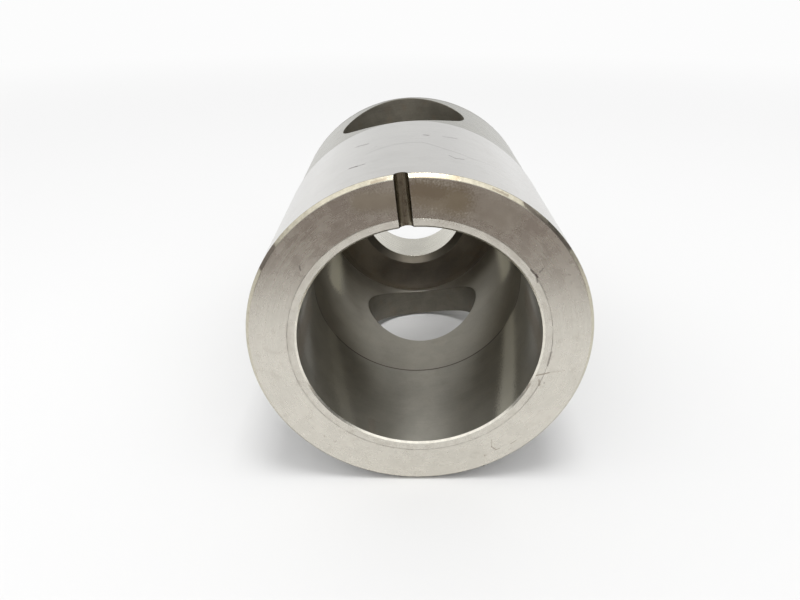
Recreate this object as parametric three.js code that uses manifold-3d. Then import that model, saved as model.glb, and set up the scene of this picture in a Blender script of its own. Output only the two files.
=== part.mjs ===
// Rigid sleeve coupling, lying on its side: a stepped steel sleeve with a thin liner
// bush pressed into its front bore. Millimetres, +Z up. The sleeve's axis is Y, its
// front face looks toward -Y, and the origin is on the axis at half its length.

import * as THREE from 'three';
import { mergeVertices } from 'three/addons/utils/BufferGeometryUtils.js';
import Module from 'manifold-3d';

const wasm = await Module();
wasm.setup();

// ---- Driving dimensions ----------------------------------------------------------

// Sleeve, outside. Stations are measured along the axis from the front face.
const OUTER_DIAMETER = 56.5;      // ground journal at the front
const RELIEF_DIAMETER = 56.1;     // turned band behind the journal
const HUB_DIAMETER = 48.0;        // stepped-down rear hub
const RELIEF_START = 37.4;        // station where the journal ends
const SHOULDER = 66.0;            // station of the rear shoulder
const LENGTH = 79.0;
const EDGE_CHAMFER = 0.6;         // front rim and rear shoulder
const HUB_CHAMFER = 1.0;

// Sleeve, inside.
const MAIN_BORE_DIAMETER = 43.0;
const END_WALL = 64.6;            // station of the end wall's inner face
const UNDERCUT_WIDTH = 1.6;       // ring cut at the foot of the main bore
const UNDERCUT_DEPTH = 0.8;
const SHAFT_HOLE_DIAMETER = 24.0; // through the end wall and the hub
const SHAFT_HOLE_LEAD_IN = 1.5;   // chamfer on its inner end
const SHAFT_HOLE_EXIT = 0.8;      // chamfer on its outer end

// Cross hole, square to the axis, through both walls.
const CROSS_HOLE_DIAMETER = 26.0;
const CROSS_HOLE_STATION = 51.4;

// Liner bush, flush with the front face.
const LINER_BORE_DIAMETER = 40.0;
const LINER_LENGTH = 24.0;
const LINER_FACE_DISH = 0.16; // how far the face falls towards the bore
const LINER_MOUTH_CHAMFER = 0.3;
const LINER_END_CHAMFER = 0.3;
const FIT_GAP = 0.3;              // clearance kept around the pressed-in liner

// Oil groove across the front face, on top.
const GROOVE_WIDTH = 2.2;
const GROOVE_DEPTH = 1.35;

// Fineness of the round surfaces. Half a facet of turn puts a flat underneath.
const ROUND_SEGMENTS = 72;
const CROSS_HOLE_SEGMENTS = 48;
const GROOVE_ARC_SEGMENTS = 10;

// ---- Worked-out values -----------------------------------------------------------

const FRONT_Y = -LENGTH / 2;
const OUTER_RADIUS = OUTER_DIAMETER / 2;
const RELIEF_RADIUS = RELIEF_DIAMETER / 2;
const RELIEF_STEP = OUTER_RADIUS - RELIEF_RADIUS;
const HUB_RADIUS = HUB_DIAMETER / 2;
const MAIN_BORE_RADIUS = MAIN_BORE_DIAMETER / 2;
const SHAFT_HOLE_RADIUS = SHAFT_HOLE_DIAMETER / 2;
const LINER_BORE_RADIUS = LINER_BORE_DIAMETER / 2;
const LINER_OUTER_RADIUS = MAIN_BORE_RADIUS - FIT_GAP;
const CUTTER_OVERSHOOT = 2;       // how far a cutter runs past what it cuts

// ---- Helpers ---------------------------------------------------------------------

/** Turn a closed geometry into a manifold solid with merged vertices. */
function solidOf(geometry) {
  const bare = geometry.index ? geometry.toNonIndexed() : geometry.clone();
  bare.deleteAttribute('normal');
  bare.deleteAttribute('uv');
  const merged = mergeVertices(bare, 1e-4);
  return new wasm.Manifold(new wasm.Mesh({
    numProp: 3,
    vertProperties: new Float32Array(merged.attributes.position.array),
    triVerts: new Uint32Array(merged.index.array),
  }));
}

/** Turn a manifold solid back into a geometry with flat-shaded normals. */
function geometryOf(solid) {
  const raw = solid.getMesh();
  const geometry = new THREE.BufferGeometry();
  geometry.setAttribute('position', new THREE.BufferAttribute(raw.vertProperties, raw.numProp));
  geometry.setIndex(new THREE.BufferAttribute(raw.triVerts, 1));
  geometry.computeVertexNormals();
  return geometry;
}

/**
 * Revolve a closed section about the Y axis. Each point is [radius, station], and the
 * points run with the material on their left-hand side.
 */
function revolve(section) {
  const points = [...section, section[0]].map(
    ([radius, station]) => new THREE.Vector2(radius, FRONT_Y + station),
  );
  return solidOf(new THREE.LatheGeometry(points, ROUND_SEGMENTS, Math.PI / ROUND_SEGMENTS));
}

/** The cutter for the cross hole: a cylinder along Z through both walls. */
function crossHoleCutter() {
  const reach = 2 * (OUTER_RADIUS + CUTTER_OVERSHOOT);
  const radius = CROSS_HOLE_DIAMETER / 2;
  const geometry = new THREE.CylinderGeometry(radius, radius, reach, CROSS_HOLE_SEGMENTS);
  geometry.rotateX(Math.PI / 2);
  geometry.translate(0, FRONT_Y + CROSS_HOLE_STATION, 0);
  return solidOf(geometry);
}

/** The cutter for the oil groove: a round-bottomed bar along Z, over the axis only. */
function grooveCutter() {
  const half = GROOVE_WIDTH / 2;
  const shape = new THREE.Shape();
  shape.moveTo(-half, -CUTTER_OVERSHOOT);
  shape.lineTo(half, -CUTTER_OVERSHOOT);
  shape.lineTo(half, GROOVE_DEPTH - half);
  shape.absarc(0, GROOVE_DEPTH - half, half, 0, Math.PI, false);
  shape.closePath();
  const start = LINER_BORE_RADIUS - CUTTER_OVERSHOOT;
  const geometry = new THREE.ExtrudeGeometry(shape, {
    depth: OUTER_RADIUS + CUTTER_OVERSHOOT - start,
    bevelEnabled: false,
    curveSegments: GROOVE_ARC_SEGMENTS,
  });
  geometry.translate(0, FRONT_Y, start);
  return solidOf(geometry);
}

// ---- Pieces ----------------------------------------------------------------------

/** The sleeve: journal, relieved band, hub, main bore, end wall and shaft hole. */
function sleeveBody() {
  const undercutRadius = MAIN_BORE_RADIUS - UNDERCUT_WIDTH;
  const turned = revolve([
    [MAIN_BORE_RADIUS, 0],
    [OUTER_RADIUS - EDGE_CHAMFER, 0],
    [OUTER_RADIUS, EDGE_CHAMFER],
    [OUTER_RADIUS, RELIEF_START],
    [RELIEF_RADIUS, RELIEF_START + RELIEF_STEP],
    [RELIEF_RADIUS, SHOULDER - EDGE_CHAMFER],
    [RELIEF_RADIUS - EDGE_CHAMFER, SHOULDER],
    [HUB_RADIUS, SHOULDER],
    [HUB_RADIUS, LENGTH - HUB_CHAMFER],
    [HUB_RADIUS - HUB_CHAMFER, LENGTH],
    [SHAFT_HOLE_RADIUS + SHAFT_HOLE_EXIT, LENGTH],
    [SHAFT_HOLE_RADIUS, LENGTH - SHAFT_HOLE_EXIT],
    [SHAFT_HOLE_RADIUS, END_WALL + SHAFT_HOLE_LEAD_IN],
    [SHAFT_HOLE_RADIUS + SHAFT_HOLE_LEAD_IN, END_WALL],
    [undercutRadius, END_WALL],
    [undercutRadius, END_WALL + UNDERCUT_DEPTH],
    [MAIN_BORE_RADIUS, END_WALL + UNDERCUT_DEPTH],
  ]);
  return turned.subtract(crossHoleCutter()).subtract(grooveCutter());
}

/** The liner bush: a thin plain ring, chamfered at its mouth and at its inner end. */
function linerBush() {
  const turned = revolve([
    [LINER_BORE_RADIUS + LINER_MOUTH_CHAMFER, LINER_FACE_DISH],
    [LINER_OUTER_RADIUS, 0],
    [LINER_OUTER_RADIUS, LINER_LENGTH - LINER_END_CHAMFER],
    [LINER_OUTER_RADIUS - LINER_END_CHAMFER, LINER_LENGTH],
    [LINER_BORE_RADIUS + LINER_END_CHAMFER, LINER_LENGTH],
    [LINER_BORE_RADIUS, LINER_LENGTH - LINER_END_CHAMFER],
    [LINER_BORE_RADIUS, LINER_FACE_DISH + LINER_MOUTH_CHAMFER],
  ]);
  return turned.subtract(grooveCutter());
}

// ---- Assembly --------------------------------------------------------------------

const groundSteel = new THREE.MeshStandardMaterial({
  color: 0xb9b3ab, roughness: 0.32, metalness: 1.0,
});
const linerSteel = new THREE.MeshStandardMaterial({
  color: 0xa39c91, roughness: 0.38, metalness: 1.0,
});

/** Give a finished solid its node name and finish. */
function node(name, solid, material) {
  const mesh = new THREE.Mesh(geometryOf(solid), material);
  mesh.name = name;
  return mesh;
}

const coupling = new THREE.Group();
coupling.add(node('sleeve_body', sleeveBody(), groundSteel));
coupling.add(node('liner_bush', linerBush(), linerSteel));

export default coupling;
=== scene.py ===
"""Looks for a rigid sleeve coupling that lies on its side on a pale floor.

A ground steel sleeve with a thin liner bush in its front bore, an oil groove across the
front face and a cross hole through both walls. Both pieces are turned, cut and dressed
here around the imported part, and the studio is set up around them.
"""

import logging
import math
from dataclasses import dataclass, field
from enum import Enum
from typing import Callable, NamedTuple, Sequence

import bmesh
import bpy
from mathutils import Matrix, Vector


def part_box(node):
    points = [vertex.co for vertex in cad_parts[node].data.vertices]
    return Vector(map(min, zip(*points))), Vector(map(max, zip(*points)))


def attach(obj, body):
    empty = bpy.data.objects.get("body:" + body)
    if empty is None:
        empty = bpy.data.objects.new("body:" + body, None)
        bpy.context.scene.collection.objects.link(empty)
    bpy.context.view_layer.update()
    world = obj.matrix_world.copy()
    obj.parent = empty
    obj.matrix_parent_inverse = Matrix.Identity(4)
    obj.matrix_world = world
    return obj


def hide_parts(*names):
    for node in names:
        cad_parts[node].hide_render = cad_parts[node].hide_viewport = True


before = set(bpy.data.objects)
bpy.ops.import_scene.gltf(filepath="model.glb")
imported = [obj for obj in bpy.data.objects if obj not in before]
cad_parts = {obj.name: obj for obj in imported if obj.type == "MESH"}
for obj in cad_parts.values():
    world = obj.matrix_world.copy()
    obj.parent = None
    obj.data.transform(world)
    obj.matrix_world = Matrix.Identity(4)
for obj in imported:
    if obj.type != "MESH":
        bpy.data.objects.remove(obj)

log = logging.getLogger("sleeve_coupling")

MM = 0.001                       # the frame is in metres, sizes here in millimetres
LEAN = math.radians(6.3)         # the groove and cross hole lean this far from upright
STANCE = Matrix.Rotation(LEAN, 4, "Y")
ORIGIN = (0.0, 0.0, 0.0)

Piece = bpy.types.Object
Edge = bmesh.types.BMEdge
Tree = bpy.types.NodeTree
Node = bpy.types.Node
Socket = bpy.types.NodeSocket

SHARP = math.radians(25.0)       # an edge that turns by more than this is a sharp one
SMOOTH = math.radians(32.0)      # an edge that turns by less than this is shaded smooth
TURNED_MERGE = 0.002             # corners closer than this become one after turning
CUT_MERGE = 0.02                 # and after a cut
SLACK = 0.02                     # how far off its place a cut surface's corner may be
HAIR = 0.001                     # as good as nothing


# ---- Modelling helpers -----------------------------------------------------------


class Ring(NamedTuple):
    """One corner of a turned section."""

    radius: float
    station: float


class Spot(NamedTuple):
    """A face's middle, with its radius and station in millimetres, and its normal."""

    radius: float
    station: float
    middle: Vector
    normal: Vector


def deselect_all() -> None:
    """Leaves edit mode and clears the selection."""
    if bpy.context.object is not None and bpy.context.object.mode != "OBJECT":
        bpy.ops.object.mode_set(mode="OBJECT")
    bpy.ops.object.select_all(action="DESELECT")


def make_active(piece: Piece) -> None:
    """Selects one object alone and makes it the active one."""
    deselect_all()
    piece.select_set(True)
    bpy.context.view_layer.objects.active = piece


def take_new(name: str) -> Piece:
    """Names the primitive that was just added and puts its place into its mesh.

    Args:
        name: the object's and the mesh's name.

    Returns:
        The object, which is the active one.
    """
    piece = bpy.context.object
    piece.name = name
    piece.data.name = name
    bpy.ops.object.transform_apply(location=True, rotation=True, scale=True)
    return piece


def select_edges(piece: Piece, wanted: Callable[[Edge], bool]) -> int:
    """Selects the edges of the piece in edit mode that a test picks.

    Args:
        piece: the object in edit mode.
        wanted: says whether an edge is picked.

    Returns:
        How many were picked.
    """
    bpy.ops.mesh.select_mode(type="EDGE")
    bpy.ops.mesh.select_all(action="DESELECT")
    mesh = bmesh.from_edit_mesh(piece.data)
    picked = [edge for edge in mesh.edges if wanted(edge)]
    for edge in picked:
        edge.select_set(True)
    bmesh.update_edit_mesh(piece.data)
    return len(picked)


def turned(name: str, section: Sequence[Ring], front: float, segments: int) -> Piece:
    """Turns a closed section round the Y axis, ring by ring.

    Args:
        name: the new piece's name.
        section: its corners in order, radius and station in millimetres.
        front: where station 0 lies on the Y axis, in millimetres.
        segments: sides of each ring.

    Returns:
        The closed solid, in object mode.
    """
    deselect_all()
    first = section[0]
    bpy.ops.mesh.primitive_circle_add(
        vertices=segments,
        radius=first.radius * MM,
        fill_type="NOTHING",
        location=(0.0, (front + first.station) * MM, 0.0),
        rotation=(math.pi / 2, 0.0, 0.0),
    )
    piece = take_new(name)
    bpy.ops.object.mode_set(mode="EDIT")
    bpy.ops.mesh.select_all(action="SELECT")
    for before, ring in zip(section, [*section[1:], first]):
        step = (ring.station - before.station) * MM
        bpy.ops.mesh.extrude_edges_move(TRANSFORM_OT_translate={"value": (0.0, step, 0.0)})
        grow = ring.radius / before.radius
        bpy.ops.transform.resize(
            value=(grow, 1.0, grow),
            center_override=(0.0, (front + ring.station) * MM, 0.0),
        )
    bpy.ops.mesh.select_all(action="SELECT")
    bpy.ops.mesh.remove_doubles(threshold=TURNED_MERGE * MM)
    bpy.ops.mesh.normals_make_consistent(inside=False)
    bpy.ops.object.mode_set(mode="OBJECT")
    return piece


def soften(
    piece: Piece, wanted: Callable[[Edge], bool], width: float, segments: int = 2
) -> None:
    """Breaks the sharp edges that a test picks.

    Args:
        piece: the piece to work on.
        wanted: says whether an edge is one of them.
        width: of the break, in millimetres.
        segments: how many facets the break has.
    """
    make_active(piece)
    bpy.ops.object.mode_set(mode="EDIT")
    count = select_edges(piece, wanted)
    if count:
        bpy.ops.mesh.bevel(
            offset=width * MM, offset_type="OFFSET", segments=segments, profile=0.5,
            affect="EDGES", clamp_overlap=False, loop_slide=True,
        )
    log.info("%s: %d edges broken by %.2f mm", piece.name, count, width)
    bpy.ops.object.mode_set(mode="OBJECT")


def cut_away(piece: Piece, cutter: Piece) -> None:
    """Cuts one solid from another, and throws the cutter away.

    Args:
        piece: the solid that is cut.
        cutter: the solid that cuts it.
    """
    make_active(piece)
    cut = piece.modifiers.new("Cut", "BOOLEAN")
    cut.operation = "DIFFERENCE"
    cut.solver = "EXACT"
    cut.object = cutter
    bpy.ops.object.modifier_apply(modifier=cut.name)
    bpy.data.meshes.remove(cutter.data)
    bpy.ops.object.mode_set(mode="EDIT")
    bpy.ops.mesh.select_all(action="SELECT")
    bpy.ops.mesh.remove_doubles(threshold=CUT_MERGE * MM)
    bpy.ops.object.mode_set(mode="OBJECT")


def sharp(edge: Edge) -> bool:
    """Whether the surface turns sharply at an edge."""
    return len(edge.link_faces) == 2 and edge.calc_face_angle(0.0) > SHARP


@dataclass
class OilGroove:
    """The narrow round-bottomed groove across the front face, on top."""

    width: float = 2.2
    depth: float = 1.35
    corner: float = 1.05
    corner_segments: int = 8
    inner_reach: float = 17.0
    outer_reach: float = 31.0
    overshoot: float = 2.0

    def cutter(self, front: float) -> Piece:
        """Makes the solid that cuts the groove.

        Args:
            front: the front face's place on the Y axis, in millimetres.

        Returns:
            The cutter.
        """
        deselect_all()
        run = self.outer_reach - self.inner_reach
        bpy.ops.mesh.primitive_cube_add(
            size=1.0,
            location=(
                0.0,
                (front + (self.depth - self.overshoot) / 2) * MM,
                (self.outer_reach + self.inner_reach) / 2 * MM,
            ),
            scale=(self.width * MM, (self.depth + self.overshoot) * MM, run * MM),
        )
        cutter = take_new("groove_cutter")
        floor = front + self.depth

        def bottom_edge(edge: Edge) -> bool:
            """Whether an edge is one of the two long ones at the groove's floor."""
            a, b = (vertex.co / MM for vertex in edge.verts)
            return min(a.y, b.y) > floor - SLACK and abs(a.z - b.z) > self.width

        soften(cutter, bottom_edge, self.corner, self.corner_segments)
        return cutter

    def holds(self, middle: Vector, station: float) -> bool:
        """Whether a face with this middle is one of the groove's."""
        inside = abs(middle.x) < self.width / 2 - HAIR and middle.z > 0
        return inside and SLACK < station < self.depth + SLACK


@dataclass
class CrossHole:
    """The hole square to the axis, through both walls."""

    radius: float = 13.0
    station: float = 51.4
    margin: float = 0.35         # takes in the broken edge round the hole
    slack: float = 0.03          # how far off the wall a corner may be
    segments: int = 160

    def cutter(self, front: float, reach: float) -> Piece:
        """Makes the solid that cuts the hole.

        Args:
            front: the front face's place on the Y axis, in millimetres.
            reach: how far the cutter runs above and below the axis, in millimetres.

        Returns:
            The cutter.
        """
        deselect_all()
        bpy.ops.mesh.primitive_cylinder_add(
            vertices=self.segments, radius=self.radius * MM, depth=2 * reach * MM,
            location=(0.0, (front + self.station) * MM, 0.0),
        )
        return take_new("cross_hole_cutter")

    def on_wall(self, point: Vector, front: float) -> bool:
        """Whether a point, in metres, lies on the hole's wall."""
        away = math.hypot(point.x / MM, point.y / MM - front - self.station)
        return abs(away - self.radius) < self.slack


# ---- Nodes -----------------------------------------------------------------------


Colour = tuple[float, float, float]
Span = tuple[float, float]


class NodeSheet:
    """A node tree with short ways to add nodes and links."""

    def __init__(self, tree: Tree) -> None:
        """Starts on a tree with nothing in it."""
        self.tree = tree
        tree.nodes.clear()

    def add(self, kind: str, **settings: object) -> Node:
        """Adds a node.

        Args:
            kind: its type without the ShaderNode prefix, or in full.
            settings: properties to set on it.

        Returns:
            The new node.
        """
        full = kind if kind.startswith("Node") else "ShaderNode" + kind
        node = self.tree.nodes.new(full)
        for name, value in settings.items():
            setattr(node, name, value)
        return node

    def feed(self, node: Node, socket: int | str, value: object) -> None:
        """Links a socket into an input, or sets the input to a plain value.

        Args:
            node: the node that takes it.
            socket: the input's place or name.
            value: a socket to link from, or a plain value.
        """
        entry = node.inputs[socket]
        if isinstance(value, Socket):
            self.tree.links.new(value, entry)
        else:
            entry.default_value = value

    def feed_all(self, node: Node, values: dict[str, object]) -> None:
        """Feeds several inputs of a node, each by its name."""
        for socket, value in values.items():
            self.feed(node, socket, value)

    def effect(self, tree: Tree, **values: object) -> Node:
        """Places a node group with its own values.

        Args:
            tree: the node group.
            values: its inputs, each by its name.

        Returns:
            The group's node.
        """
        node = self.add("Group")
        node.node_tree = tree
        self.feed_all(node, values)
        return node

    def math(self, operation: str, *values: object, clamp: bool = False) -> Socket:
        """Puts one to three sockets or numbers through a Math node.

        Args:
            operation: the node's operation.
            values: what it works on, in order.
            clamp: whether the result is held between 0 and 1.

        Returns:
            The result.
        """
        node = self.add("Math", operation=operation, use_clamp=clamp)
        for index, value in enumerate(values):
            self.feed(node, index, value)
        return node.outputs[0]

    def product(self, first: Socket, *others: object) -> Socket:
        """Several numbers multiplied."""
        for other in others:
            first = self.math("MULTIPLY", first, other)
        return first

    def vector(self, operation: str, *values: object) -> Socket:
        """Puts vectors through a Vector Math node.

        Args:
            operation: the node's operation.
            values: what it works on, in order.

        Returns:
            The result, which is a number for LENGTH and DOT_PRODUCT.
        """
        node = self.add("VectorMath", operation=operation)
        for index, value in enumerate(values):
            self.feed(node, index, value)
        return node.outputs["Value" if operation in ("LENGTH", "DOT_PRODUCT") else "Vector"]

    def scaled(self, vector: Socket, factor: object) -> Socket:
        """A vector made longer or shorter by a factor."""
        node = self.add("VectorMath", operation="SCALE")
        self.feed(node, 0, vector)
        self.feed(node, "Scale", factor)
        return node.outputs[0]

    def split(self, vector: Socket) -> tuple[Socket, ...]:
        """A vector's three numbers."""
        node = self.add("SeparateXYZ")
        self.feed(node, 0, vector)
        return tuple(node.outputs)

    def join(self, x: object, y: object, z: object) -> Socket:
        """Three numbers as a vector."""
        node = self.add("CombineXYZ")
        for index, value in enumerate((x, y, z)):
            self.feed(node, index, value)
        return node.outputs[0]

    def noise(
        self, vector: Socket, detail: object, scale: float = 1.0, roughness: float = 0.5
    ) -> Socket:
        """Makes smooth noise.

        Args:
            vector: the place that is asked about.
            detail: how many finer layers it has.
            scale: how often it repeats.
            roughness: how strong the finer layers are.

        Returns:
            A value about 0.5.
        """
        node = self.add("TexNoise", noise_dimensions="3D")
        self.feed_all(
            node,
            {"Vector": vector, "Scale": scale, "Detail": detail, "Roughness": roughness},
        )
        return node.outputs[0]

    def ramp(
        self, value: object, start: object, end: object,
        low: object = 0.0, high: object = 1.0,
    ) -> Socket:
        """Makes a smooth step.

        Args:
            value: what the step follows.
            start: the value where it begins.
            end: the value where it ends.
            low: the result up to the start.
            high: the result from the end on.

        Returns:
            The result.
        """
        node = self.add("MapRange", interpolation_type="SMOOTHSTEP", clamp=True)
        for index, entry in enumerate((value, start, end, low, high)):
            self.feed(node, index, entry)
        return node.outputs[0]

    def swing(self, value: Socket, share: float, middle: object) -> Socket:
        """A value from 0 to 1 as a swing of some share about a middle."""
        return self.math("MULTIPLY_ADD", self.math("SUBTRACT", value, 0.5), share, middle)

    def blend(
        self, factor: object, first: Socket | Colour, second: Socket | Colour,
        mode: str = "MIX",
    ) -> Socket:
        """Mixes two colours.

        Args:
            factor: the second one's share.
            first: the colour below.
            second: the colour on top.
            mode: how they mix.

        Returns:
            The mixed colour.
        """
        node = self.add("Mix", data_type="RGBA", blend_type=mode)
        self.feed(node, 0, factor)
        for socket, colour in ((6, first), (7, second)):
            self.feed(node, socket, (*colour, 1.0) if isinstance(colour, tuple) else colour)
        return node.outputs[2]

    def lean(self, mask: Socket, level: object, aim: object) -> Socket:
        """Moves a level towards another one.

        Args:
            mask: how far it goes, from 0 to 1.
            level: where it starts.
            aim: where it goes.

        Returns:
            The new level.
        """
        node = self.add("Mix", data_type="FLOAT")
        for socket, value in ((0, mask), (2, level), (3, aim)):
            self.feed(node, socket, value)
        return node.outputs[0]

    def end_with(self, shader: Node, kind: str = "OutputMaterial") -> None:
        """Sends a shader to the tree's surface output."""
        self.feed(self.add(kind), 0, shader.outputs[0])


def new_material(name: str) -> bpy.types.Material:
    """Makes a material that is built of nodes."""
    material = bpy.data.materials.new(name)
    material.use_nodes = True
    return material


# ---- Node groups -----------------------------------------------------------------


class GroupSheet(NodeSheet):
    """A shader node group with named inputs and outputs."""

    def __init__(
        self, name: str, inputs: dict[str, object], outputs: dict[str, str]
    ) -> None:
        """Makes the group.

        Args:
            name: the group's name.
            inputs: each input's name, with a number or three numbers as its default.
            outputs: each output's name and Float, Vector or Color.
        """
        super().__init__(bpy.data.node_groups.new(name, "ShaderNodeTree"))
        for entry, value in inputs.items():
            kind = "NodeSocketFloat" if isinstance(value, float) else "NodeSocketVector"
            socket = self.tree.interface.new_socket(entry, in_out="INPUT", socket_type=kind)
            socket.default_value = value
        for entry, kind in outputs.items():
            self.tree.interface.new_socket(
                entry, in_out="OUTPUT", socket_type="NodeSocket" + kind
            )
        self.source = self.add("NodeGroupInput")
        self.result = self.add("NodeGroupOutput")

    def given(self, name: str) -> Socket:
        """One of the group's inputs, as a socket to link from."""
        return self.source.outputs[name]

    def give(self, name: str, value: object) -> None:
        """Links a value to one of the group's outputs."""
        self.feed(self.result, name, value)


class Effects:
    """The effects that several finishes share, each a node group built once."""

    def __init__(self, front: float) -> None:
        """Builds the groups for a coupling whose front face is at this station."""
        self.places = self.build_places(front)
        self.tool_marks = self.build_tool_marks()
        self.cloud = self.build_cloud()
        self.stroke = self.build_stroke()
        self.band = self.build_band()
        self.pits = self.build_pits()

    @staticmethod
    def build_places(front: float) -> Tree:
        """Turns a place into millimetres, with its radius, turn and station."""
        sheet = GroupSheet(
            "axis_places",
            {"Place": ORIGIN},
            {"Point": "Vector", "Radius": "Float", "Turn": "Float", "Station": "Float"},
        )
        point = sheet.scaled(sheet.given("Place"), 1.0 / MM)
        x, y, z = sheet.split(point)
        squares = sheet.math("ADD", sheet.product(x, x), sheet.product(z, z))
        turn = sheet.math("ARCTAN2", x, z)
        sheet.give("Point", point)
        sheet.give("Radius", sheet.math("SQRT", squares))
        sheet.give("Turn", sheet.product(turn, 180.0 / math.pi))
        sheet.give("Station", sheet.math("SUBTRACT", y, front))
        return sheet.tree

    @staticmethod
    def build_tool_marks() -> Tree:
        """Fine lines left by a tool: they run in the point's first and third axes."""
        sheet = GroupSheet(
            "tool_marks",
            {"Point": ORIGIN, "Across": 0.0, "Pitch": 0.1, "Run": 10.0},
            {"Height": "Float", "Tone": "Float"},
        )
        x, _, z = sheet.split(sheet.given("Point"))
        place = sheet.join(
            sheet.math("DIVIDE", x, sheet.given("Run")),
            sheet.math("DIVIDE", sheet.given("Across"), sheet.given("Pitch")),
            sheet.math("DIVIDE", z, sheet.given("Run")),
        )
        broad = sheet.noise(place, detail=2.0, scale=0.23)
        sheet.give("Height", sheet.noise(place, detail=3.0, roughness=0.65))
        sheet.give("Tone", sheet.ramp(broad, 0.3, 0.7))
        return sheet.tree

    @staticmethod
    def build_cloud() -> Tree:
        """Soft uneven patches, from 0 to 1."""
        sheet = GroupSheet(
            "cloud",
            {
                "Point": ORIGIN, "Size": 5.0, "Low": 0.35, "High": 0.65, "Seed": 0.0,
                "Detail": 3.0,
            },
            {"Mask": "Float"},
        )
        moved = sheet.vector("ADD", sheet.given("Point"), sheet.given("Seed"))
        place = sheet.scaled(moved, sheet.math("DIVIDE", 1.0, sheet.given("Size")))
        noise = sheet.noise(place, sheet.given("Detail"))
        sheet.give("Mask", sheet.ramp(noise, sheet.given("Low"), sheet.given("High")))
        return sheet.tree

    @staticmethod
    def build_stroke() -> Tree:
        """One short stroke between two points of a flat plan, with a ragged edge."""
        sheet = GroupSheet(
            "stroke",
            {
                "Plan": ORIGIN, "Start": ORIGIN, "End": (1.0, 0.0, 0.0), "Width": 0.2,
                "Strength": 1.0,
            },
            {"Mask": "Float"},
        )
        along = sheet.vector("SUBTRACT", sheet.given("End"), sheet.given("Start"))
        away = sheet.vector("SUBTRACT", sheet.given("Plan"), sheet.given("Start"))
        share = sheet.math(
            "DIVIDE",
            sheet.vector("DOT_PRODUCT", away, along),
            sheet.vector("DOT_PRODUCT", along, along),
            clamp=True,
        )
        foot = sheet.scaled(along, share)
        gap = sheet.vector("LENGTH", sheet.vector("SUBTRACT", away, foot))
        ragged = sheet.noise(sheet.given("Plan"), detail=2.0, scale=3.1)
        wobble = sheet.product(ragged, 1.3)
        width = sheet.product(sheet.given("Width"), wobble)
        near = sheet.ramp(sheet.math("DIVIDE", gap, width), 0.35, 1.1, 1.0, 0.0)
        sheet.give("Mask", sheet.product(near, sheet.given("Strength")))
        return sheet.tree

    @staticmethod
    def build_band() -> Tree:
        """A soft-edged band where a value is near a middle, broken up by patches."""
        sheet = GroupSheet(
            "edge_band",
            {
                "Value": 0.0, "Middle": 0.0, "Half": 0.3, "Soft": 0.2, "Point": ORIGIN,
                "Patch": 3.0, "Breakup": 0.5, "Seed": 0.0,
            },
            {"Mask": "Float"},
        )
        off = sheet.math(
            "ABSOLUTE", sheet.math("SUBTRACT", sheet.given("Value"), sheet.given("Middle"))
        )
        inner, breakup = sheet.given("Half"), sheet.given("Breakup")
        outer = sheet.math("ADD", inner, sheet.given("Soft"))
        near = sheet.ramp(off, inner, outer, 1.0, 0.0)
        place = sheet.scaled(
            sheet.given("Point"), sheet.math("DIVIDE", 1.0, sheet.given("Patch"))
        )
        noise = sheet.noise(sheet.vector("ADD", place, sheet.given("Seed")), detail=3.0)
        patches = sheet.ramp(noise, 0.4, 0.62)
        solid = sheet.math("SUBTRACT", 1.0, breakup)
        kept = sheet.math("ADD", solid, sheet.product(patches, breakup))
        sheet.give("Mask", sheet.product(near, kept))
        return sheet.tree

    @staticmethod
    def build_pits() -> Tree:
        """Scattered pin-prick pits."""
        sheet = GroupSheet(
            "pits",
            {"Point": ORIGIN, "Spacing": 2.0, "Size": 0.1, "Share": 0.3},
            {"Mask": "Float"},
        )
        spacing = sheet.given("Spacing")
        place = sheet.scaled(sheet.given("Point"), sheet.math("DIVIDE", 1.0, spacing))
        cells = sheet.add("TexVoronoi", voronoi_dimensions="3D", feature="F1")
        sheet.feed_all(cells, {"Vector": place, "Scale": 1.0})
        size = sheet.math("DIVIDE", sheet.given("Size"), spacing)
        core = sheet.product(size, 0.4)
        dot = sheet.ramp(cells.outputs["Distance"], core, size, 1.0, 0.0)
        draw = sheet.add("SeparateColor")
        sheet.feed(draw, 0, cells.outputs["Color"])
        chosen = sheet.math("LESS_THAN", draw.outputs[0], sheet.given("Share"))
        sheet.give("Mask", sheet.product(dot, chosen))
        return sheet.tree


# ---- Finishes --------------------------------------------------------------------


# Brown of oil stains and smears, also used as painted shade on the liner's sides.
OIL_BROWN_AND_PAINTED_SHADE: Colour = (0.20, 0.145, 0.095)
# Near-black of smudges and pits, also used as painted shade: the shadow line at the liner's far
# end and dark reflections on the rim chamfer.
SOOT_AND_PAINTED_SHADE: Colour = (0.085, 0.06, 0.055)
OLIVE: Colour = (0.25, 0.19, 0.11)
# Pale colour used only for painted reflection stripes on the bore and the liner.
PAINTED_REFLECTION: Colour = (0.92, 0.89, 0.76)
BLACK: Colour = (0.0, 0.0, 0.0)

GRAIN_SIZE = 0.35                # of the finest patches, in millimetres
PIT_SPACING = 2.2
PIT_SIZE = 0.16
PIT_DEPTH = 0.01
MARK_DULLING = 0.25             # how much rougher a mark makes the steel
QUARTER_TURN = 0.25              # lays the stretched gloss across the rings of the bore


class Lay(Enum):
    """Which way the tool marks run."""

    AROUND = "rings round a turned surface"
    FACING = "rings on a flat face"
    HOLE = "rings round the cross hole"
    RADIAL = "lines along the groove"


class Surface(Enum):
    """The surfaces of the two pieces, by how they were made."""

    FACE = 0
    RIM = 1
    JOURNAL = 2
    BAND = 3
    REAR = 4
    BORE = 5
    END = 6
    HOLE = 7
    GROOVE = 8
    SHAFT = 9
    MOUTH = 10
    LINER = 11


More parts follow.
